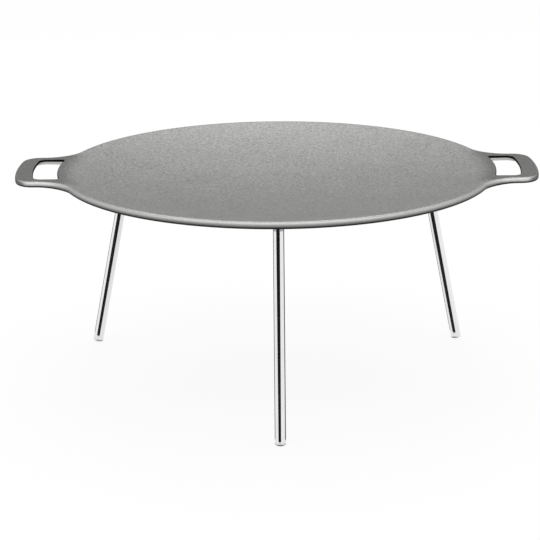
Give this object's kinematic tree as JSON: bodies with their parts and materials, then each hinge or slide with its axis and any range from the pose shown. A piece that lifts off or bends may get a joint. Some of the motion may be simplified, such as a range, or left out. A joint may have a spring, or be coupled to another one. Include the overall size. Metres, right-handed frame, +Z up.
{
  "type": "camp griddle plate",
  "caption": "Round shallow-dished cast griddle plate with a rounded rim and two loop handles, standing on splayed screw-on tube legs over a fire.",
  "frame": {"origin": "on the floor under the plate's axis", "axes": "+Z up along the plate's axis, handles along X, the front leg towards -Y"},
  "size_m": [0.6738, 0.5719, 0.2785],
  "materials": {
    "cast_iron": "bare sand-cast iron, fine even grain, satin",
    "polished_steel": "polished stainless steel tube",
    "plated_steel": "bright zinc-plated steel"
  },
  "bodies": {
    "plate": {"griddle_plate": "cast_iron", "leg_stud_front": "plated_steel", "leg_stud_left": "plated_steel", "leg_stud_right": "plated_steel"},
    "washer_front": {"leg_washer_front": "plated_steel"},
    "leg_front": {"leg_tube_front": "polished_steel", "leg_bush_front": "plated_steel", "leg_foot_front": "polished_steel"},
    "washer_left": {"leg_washer_left": "plated_steel"},
    "leg_left": {"leg_tube_left": "polished_steel", "leg_bush_left": "plated_steel", "leg_foot_left": "polished_steel"},
    "washer_right": {"leg_washer_right": "plated_steel"},
    "leg_right": {"leg_tube_right": "polished_steel", "leg_bush_right": "plated_steel", "leg_foot_right": "polished_steel"}
  },
  "joints": [
    {"name": "front_leg_travel", "type": "slide", "parent": "plate", "child": "washer_front", "axis": [0, -0.2181, -0.9759], "range_m": [0, 0.015]},
    {"name": "front_leg_turn", "type": "hinge", "parent": "washer_front", "child": "leg_front", "pos_m": [0, -0.228, 0.25902], "axis": [0, -0.2181, -0.9759], "range_deg": [0, 4320]},
    {"name": "left_leg_travel", "type": "slide", "parent": "plate", "child": "washer_left", "axis": [-0.1889, 0.1091, -0.9759], "range_m": [0, 0.015]},
    {"name": "left_leg_turn", "type": "hinge", "parent": "washer_left", "child": "leg_left", "pos_m": [-0.19745, 0.114, 0.25902], "axis": [-0.1889, 0.1091, -0.9759], "range_deg": [0, 4320]},
    {"name": "right_leg_travel", "type": "slide", "parent": "plate", "child": "washer_right", "axis": [0.1889, 0.1091, -0.9759], "range_m": [0, 0.015]},
    {"name": "right_leg_turn", "type": "hinge", "parent": "washer_right", "child": "leg_right", "pos_m": [0.19745, 0.114, 0.25902], "axis": [0.1889, 0.1091, -0.9759], "range_deg": [0, 4320]}
  ],
  "couplings": [
    {"joint": "front_leg_turn", "follows": "front_leg_travel", "rad_per_m": 5026.5},
    {"joint": "left_leg_turn", "follows": "left_leg_travel", "rad_per_m": 5026.5},
    {"joint": "right_leg_turn", "follows": "right_leg_travel", "rad_per_m": 5026.5}
  ]
}
